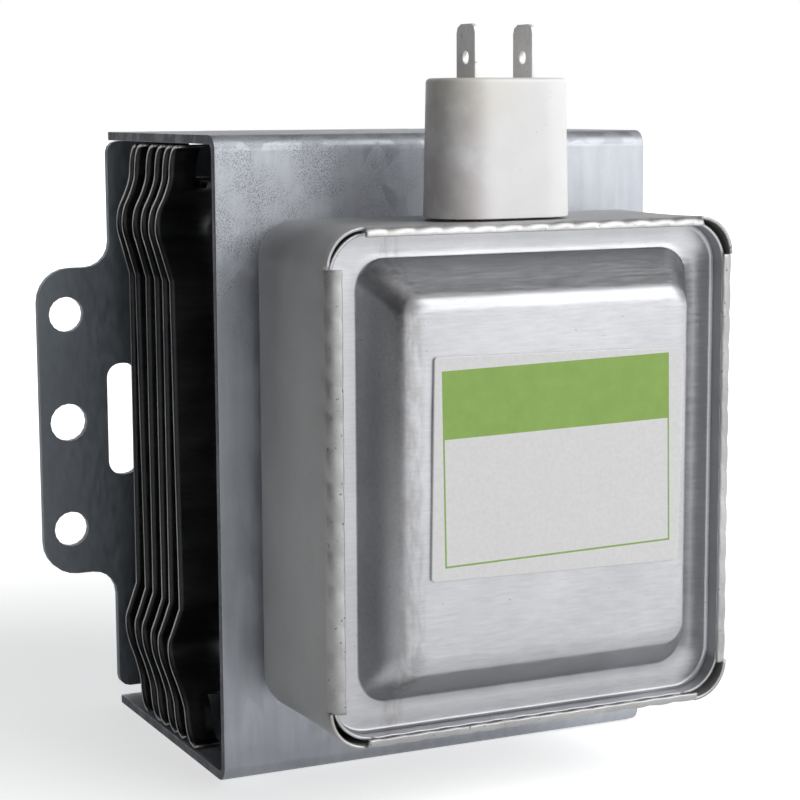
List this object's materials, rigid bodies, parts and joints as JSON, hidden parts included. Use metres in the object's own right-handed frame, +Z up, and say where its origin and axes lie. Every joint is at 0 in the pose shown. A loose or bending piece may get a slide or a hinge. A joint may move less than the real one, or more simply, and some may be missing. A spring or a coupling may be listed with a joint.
{
  "type": "microwave oven magnetron",
  "caption": "Magnetron with cooling fins in a folded steel yoke, an eared mounting plate, a filter box with spade tabs and a rear antenna",
  "frame": {"origin": "under the middle of the whole object, on the level of the yoke's lower face", "axes": "+Z up towards the spade tabs, +Y along the tube towards the antenna, +X to the right as seen from the filter box"},
  "size_m": [0.1042, 0.118, 0.1195],
  "materials": {
    "galvanised_steel": "spangled zinc, matt",
    "dark_steel": "dark, satin",
    "fin_aluminium": "dull, in shade",
    "box_steel": "plated, satin",
    "lid_steel": "plated, satin",
    "copper": "bare copper",
    "ferrite": "matt black",
    "seal_metal": "plated, satin",
    "alumina_ceramic": "pale, matt",
    "tungsten": "grey metal",
    "cap_steel": "bright",
    "housing_plastic": "off-white, moulded",
    "tinned_brass": "tinned, dull",
    "label_paper": "satin sticker",
    "knitted_wire": "knitted wire"
  },
  "bodies": {
    "root": {"yoke_frame": "galvanised_steel", "mounting_plate": "dark_steel", "cooling_fin_1": "fin_aluminium", "cooling_fin_2": "fin_aluminium", "cooling_fin_3": "fin_aluminium", "cooling_fin_4": "fin_aluminium", "cooling_fin_5": "fin_aluminium", "cooling_fin_6": "fin_aluminium", "input_magnet": "ferrite", "output_magnet": "ferrite", "anode_cylinder": "copper", "anode_vane_1": "copper", "anode_vane_2": "copper", "anode_vane_3": "copper", "anode_vane_4": "copper", "anode_vane_5": "copper", "anode_vane_6": "copper", "anode_vane_7": "copper", "anode_vane_8": "copper", "anode_vane_9": "copper", "anode_vane_10": "copper", "inner_strap_input": "copper", "outer_strap_input": "copper", "inner_strap_output": "copper", "outer_strap_output": "copper", "input_pole_piece": "seal_metal", "output_pole_piece": "seal_metal", "filament": "tungsten", "end_shield_input": "tungsten", "end_shield_output": "tungsten", "centre_lead": "tungsten", "side_lead": "tungsten", "input_seal": "seal_metal", "stem_ceramic": "alumina_ceramic", "stem_terminal_upper": "tinned_brass", "stem_terminal_lower": "tinned_brass", "output_seal": "seal_metal", "antenna_ceramic": "alumina_ceramic", "exhaust_tube": "copper", "antenna_cap": "cap_steel", "antenna_lead": "copper", "rf_gasket": "knitted_wire", "filter_box": "box_steel", "filter_lid": "lid_steel", "label_sticker": "label_paper", "capacitor_housing": "housing_plastic", "capacitor_flange": "tinned_brass", "capacitor_block": "alumina_ceramic", "spade_terminal_left": "tinned_brass", "spade_terminal_right": "tinned_brass", "box_rivet_1": "seal_metal", "box_rivet_2": "seal_metal", "box_rivet_3": "seal_metal", "box_rivet_4": "seal_metal", "choke_coil_left": "copper", "choke_coil_right": "copper", "choke_core_left": "ferrite", "choke_core_right": "ferrite"}
  },
  "joints": []
}
